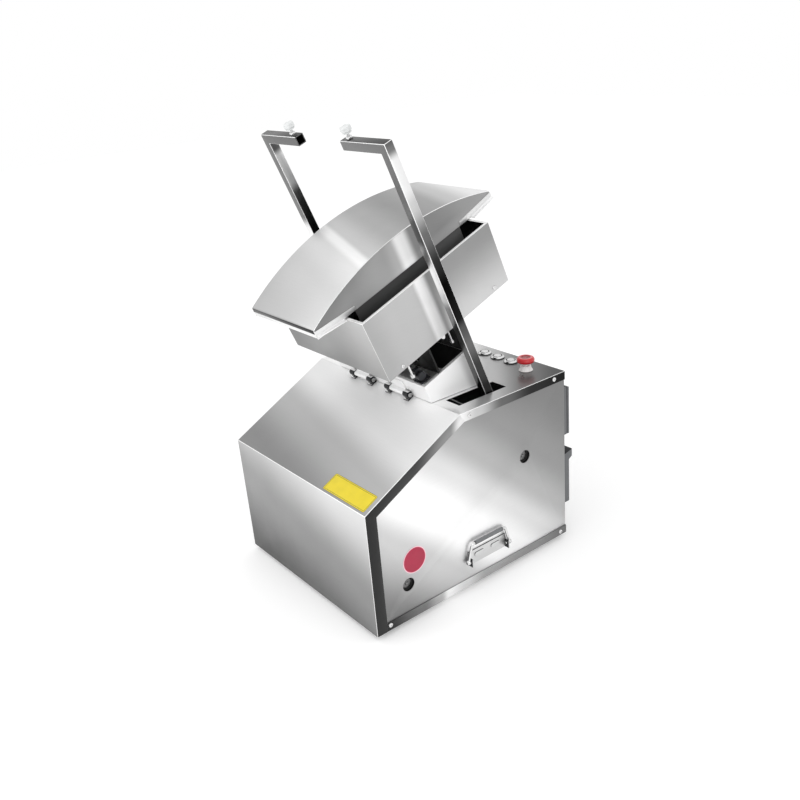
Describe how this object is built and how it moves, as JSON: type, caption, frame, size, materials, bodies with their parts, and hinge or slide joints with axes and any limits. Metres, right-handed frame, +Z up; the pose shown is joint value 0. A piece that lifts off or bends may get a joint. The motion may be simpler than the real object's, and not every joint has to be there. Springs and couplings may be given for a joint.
{
  "type": "noodle cutting machine",
  "caption": "Floor-standing dough slicer: sloped stainless cabinet, tilting housing with a curved dough table that lifts and traverses, and a pair of tall rocking arms that hold a knife.",
  "frame": {"origin": "on the floor, under the middle of the whole object's box", "axes": "+Z up, -Y towards the sloped front, +X towards the side with the stop button"},
  "size_m": [0.525, 0.609, 0.9922],
  "materials": {
    "stainless": "brushed stainless sheet, long grain",
    "polished": "polished stainless",
    "steel": "turned and ground steel",
    "cast": "grey cast metal",
    "grey_paint": "dark grey paint, satin",
    "dark_plate": "dark powder coat",
    "motor_paint": "blue paint, semi gloss",
    "rubber": "moulded black rubber",
    "bronze": "turned bronze",
    "black_plastic": "moulded black plastic",
    "clear_plastic": "milky translucent plastic",
    "green_cap": "steel grey button cap",
    "red_cap": "red moulded plastic"
  },
  "bodies": {
    "cabinet": {"base_pan": "stainless", "front_cover": "stainless", "deck_cover": "stainless", "side_panel_left": "stainless", "side_panel_right": "stainless", "rear_panel": "stainless", "rear_control_box": "dark_plate", "rear_vent_hood": "grey_paint", "rubber_feet": "rubber", "frame_plates": "grey_paint", "frame_ties": "steel", "flange_bearings": "cast", "crank_stand": "cast", "motor_body": "motor_paint", "motor_cradle": "grey_paint", "drive_belt": "rubber", "handle_plates": "stainless", "control_bezels": "polished", "hinge_lugs": "polished", "hinge_pins": "polished"},
    "rocker": {"rocker_shaft": "steel", "arm_left": "polished", "arm_right": "polished", "arm_hubs": "steel", "rocker_lever": "steel", "clamp_nuts": "polished"},
    "clamp_left": {"clamp_screw_left": "clear_plastic"},
    "clamp_right": {"clamp_screw_right": "clear_plastic"},
    "connecting_rod": {"connecting_rod": "steel"},
    "crank": {"crank_shaft": "steel", "crank_disc": "cast", "crank_pulley": "cast"},
    "motor_rotor": {"motor_shaft": "steel", "motor_pulley": "cast"},
    "head": {"pedestal": "stainless", "hinge_leaves": "polished", "support_plates": "stainless", "housing_walls": "stainless", "housing_floor": "stainless", "traverse_rods": "steel", "rod_blocks": "grey_paint", "pinion_bearings": "grey_paint", "gear_motors": "grey_paint", "limit_switch": "black_plastic"},
    "traverse_screw": {"traverse_screw": "steel"},
    "carriage": {"traverse_carriage": "grey_paint", "guide_bushes": "bronze"},
    "table": {"curved_plate": "stainless", "table_sides": "stainless", "table_frame": "stainless", "guide_posts": "steel", "lift_rack": "steel"},
    "lift_pinion": {"lift_pinion": "steel"},
    "start_button": {"start_button": "green_cap"},
    "pause_button": {"pause_button": "green_cap"},
    "lift_button": {"lift_button": "green_cap"},
    "stop_button": {"stop_button": "red_cap"},
    "speed_knob": {"speed_knob": "black_plastic"},
    "bail_left": {"handle_bail_left": "polished"},
    "bail_right": {"handle_bail_right": "polished"}
  },
  "joints": [
    {"name": "head_tilt", "type": "hinge", "parent": "cabinet", "child": "head", "pos_m": [0, -0.06417, 0.42952], "axis": [-1, 0, 0], "range_deg": [-50, 0]},
    {"name": "traverse", "type": "slide", "parent": "head", "child": "carriage", "axis": [1, 0, 0], "range_m": [-0.045, 0.045]},
    {"name": "screw_turn", "type": "hinge", "parent": "head", "child": "traverse_screw", "pos_m": [0, 0.05567, 0.66088], "axis": [1, 0, 0], "range_deg": [-815, 815]},
    {"name": "table_lift", "type": "slide", "parent": "carriage", "child": "table", "axis": [0, -0.3649, 0.9311], "range_m": [0, 0.1]},
    {"name": "pinion_turn", "type": "hinge", "parent": "head", "child": "lift_pinion", "pos_m": [0, 0.00482, 0.53301], "axis": [1, 0, 0], "range_deg": [0, 360]},
    {"name": "arm_swing", "type": "hinge", "parent": "cabinet", "child": "rocker", "pos_m": [0, 0.129, 0.26], "axis": [1, 0, 0], "range_deg": [-10, 18]},
    {"name": "rod_pivot", "type": "hinge", "parent": "rocker", "child": "connecting_rod", "pos_m": [0, 0.16596, 0.16708], "axis": [1, 0, 0], "range_deg": [-18, 10]},
    {"name": "crank_spin", "type": "hinge", "parent": "cabinet", "child": "crank", "pos_m": [0, -0.214, 0.095], "axis": [1, 0, 0], "continuous": true},
    {"name": "motor_spin", "type": "hinge", "parent": "cabinet", "child": "motor_rotor", "pos_m": [0, 0.1285, 0.078], "axis": [1, 0, 0], "continuous": true},
    {"name": "clamp_left_turn", "type": "hinge", "parent": "rocker", "child": "clamp_left", "pos_m": [-0.098, -0.14721, 0.96481], "axis": [0, -0.3649, 0.9311], "continuous": true},
    {"name": "clamp_right_turn", "type": "hinge", "parent": "rocker", "child": "clamp_right", "pos_m": [0.098, -0.14721, 0.96481], "axis": [0, -0.3649, 0.9311], "continuous": true},
    {"name": "bail_left_fold", "type": "hinge", "parent": "cabinet", "child": "bail_left", "pos_m": [-0.2565, 0.0045, 0.077], "axis": [0, -1, 0], "range_deg": [0, 90]},
    {"name": "bail_right_fold", "type": "hinge", "parent": "cabinet", "child": "bail_right", "pos_m": [0.2565, 0.0045, 0.077], "axis": [0, 1, 0], "range_deg": [0, 90]},
    {"name": "start_press", "type": "slide", "parent": "cabinet", "child": "start_button", "axis": [0, 0, -1], "range_m": [0, 0.003], "stiffness_N_per_m": 300, "springref_m": -0.002},
    {"name": "pause_press", "type": "slide", "parent": "cabinet", "child": "pause_button", "axis": [0, 0, -1], "range_m": [0, 0.003], "stiffness_N_per_m": 300, "springref_m": -0.002},
    {"name": "lift_press", "type": "slide", "parent": "cabinet", "child": "lift_button", "axis": [0, 0, -1], "range_m": [0, 0.003], "stiffness_N_per_m": 300, "springref_m": -0.002},
    {"name": "stop_press", "type": "slide", "parent": "cabinet", "child": "stop_button", "axis": [0, 0, -1], "range_m": [0, 0.005], "stiffness_N_per_m": 400, "springref_m": -0.003},
    {"name": "speed_turn", "type": "hinge", "parent": "cabinet", "child": "speed_knob", "pos_m": [-0.032, 0.227, 0.423], "axis": [0, 0, -1], "range_deg": [0, 270]}
  ],
  "couplings": [
    {"joint": "screw_turn", "follows": "traverse", "rad_per_m": 314.16},
    {"joint": "pinion_turn", "follows": "table_lift", "rad_per_m": 62.5},
    {"joint": "rod_pivot", "follows": "arm_swing", "ratio": -1},
    {"joint": "motor_spin", "follows": "crank_spin", "ratio": 2.8}
  ]
}
